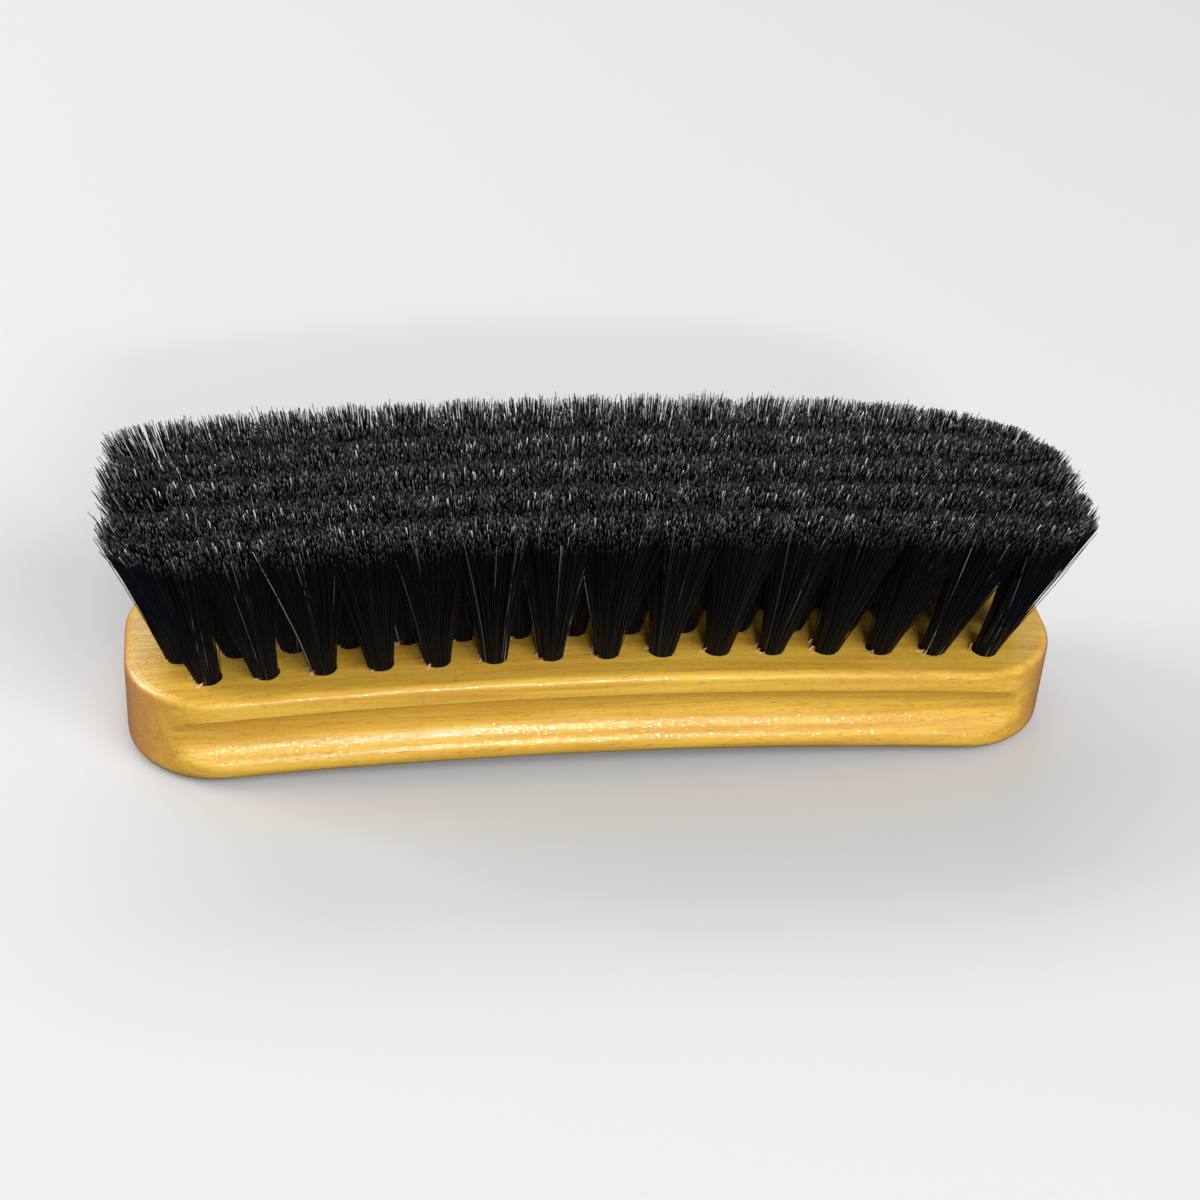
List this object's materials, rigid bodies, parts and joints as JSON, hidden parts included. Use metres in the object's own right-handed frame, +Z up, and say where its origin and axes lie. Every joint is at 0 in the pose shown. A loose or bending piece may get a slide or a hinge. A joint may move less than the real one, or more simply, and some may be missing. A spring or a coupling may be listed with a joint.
{
  "type": "shoe shine brush",
  "caption": "Hand brush with a bowed wooden block, a finger groove on each long side and staggered rows of black bristle tufts fanned outwards.",
  "frame": {"origin": "on the surface that the block rests on, under the middle of the block", "axes": "+X along the block, +Y across it, +Z up, out of the bristle face"},
  "size_m": [0.1788, 0.0446, 0.0518],
  "materials": {
    "beech": "clear gloss lacquer over golden beech",
    "horsehair": "black horsehair, dry, with a slight sheen along each hair",
    "staple_wire": "bright drawn steel wire"
  },
  "bodies": {
    "root": {"block": "beech", "tuft_row_1": "horsehair", "tuft_row_2": "horsehair", "tuft_row_3": "horsehair", "tuft_row_4": "horsehair", "tuft_row_5": "horsehair", "staple_row_1": "staple_wire", "staple_row_2": "staple_wire", "staple_row_3": "staple_wire", "staple_row_4": "staple_wire", "staple_row_5": "staple_wire"}
  },
  "joints": []
}
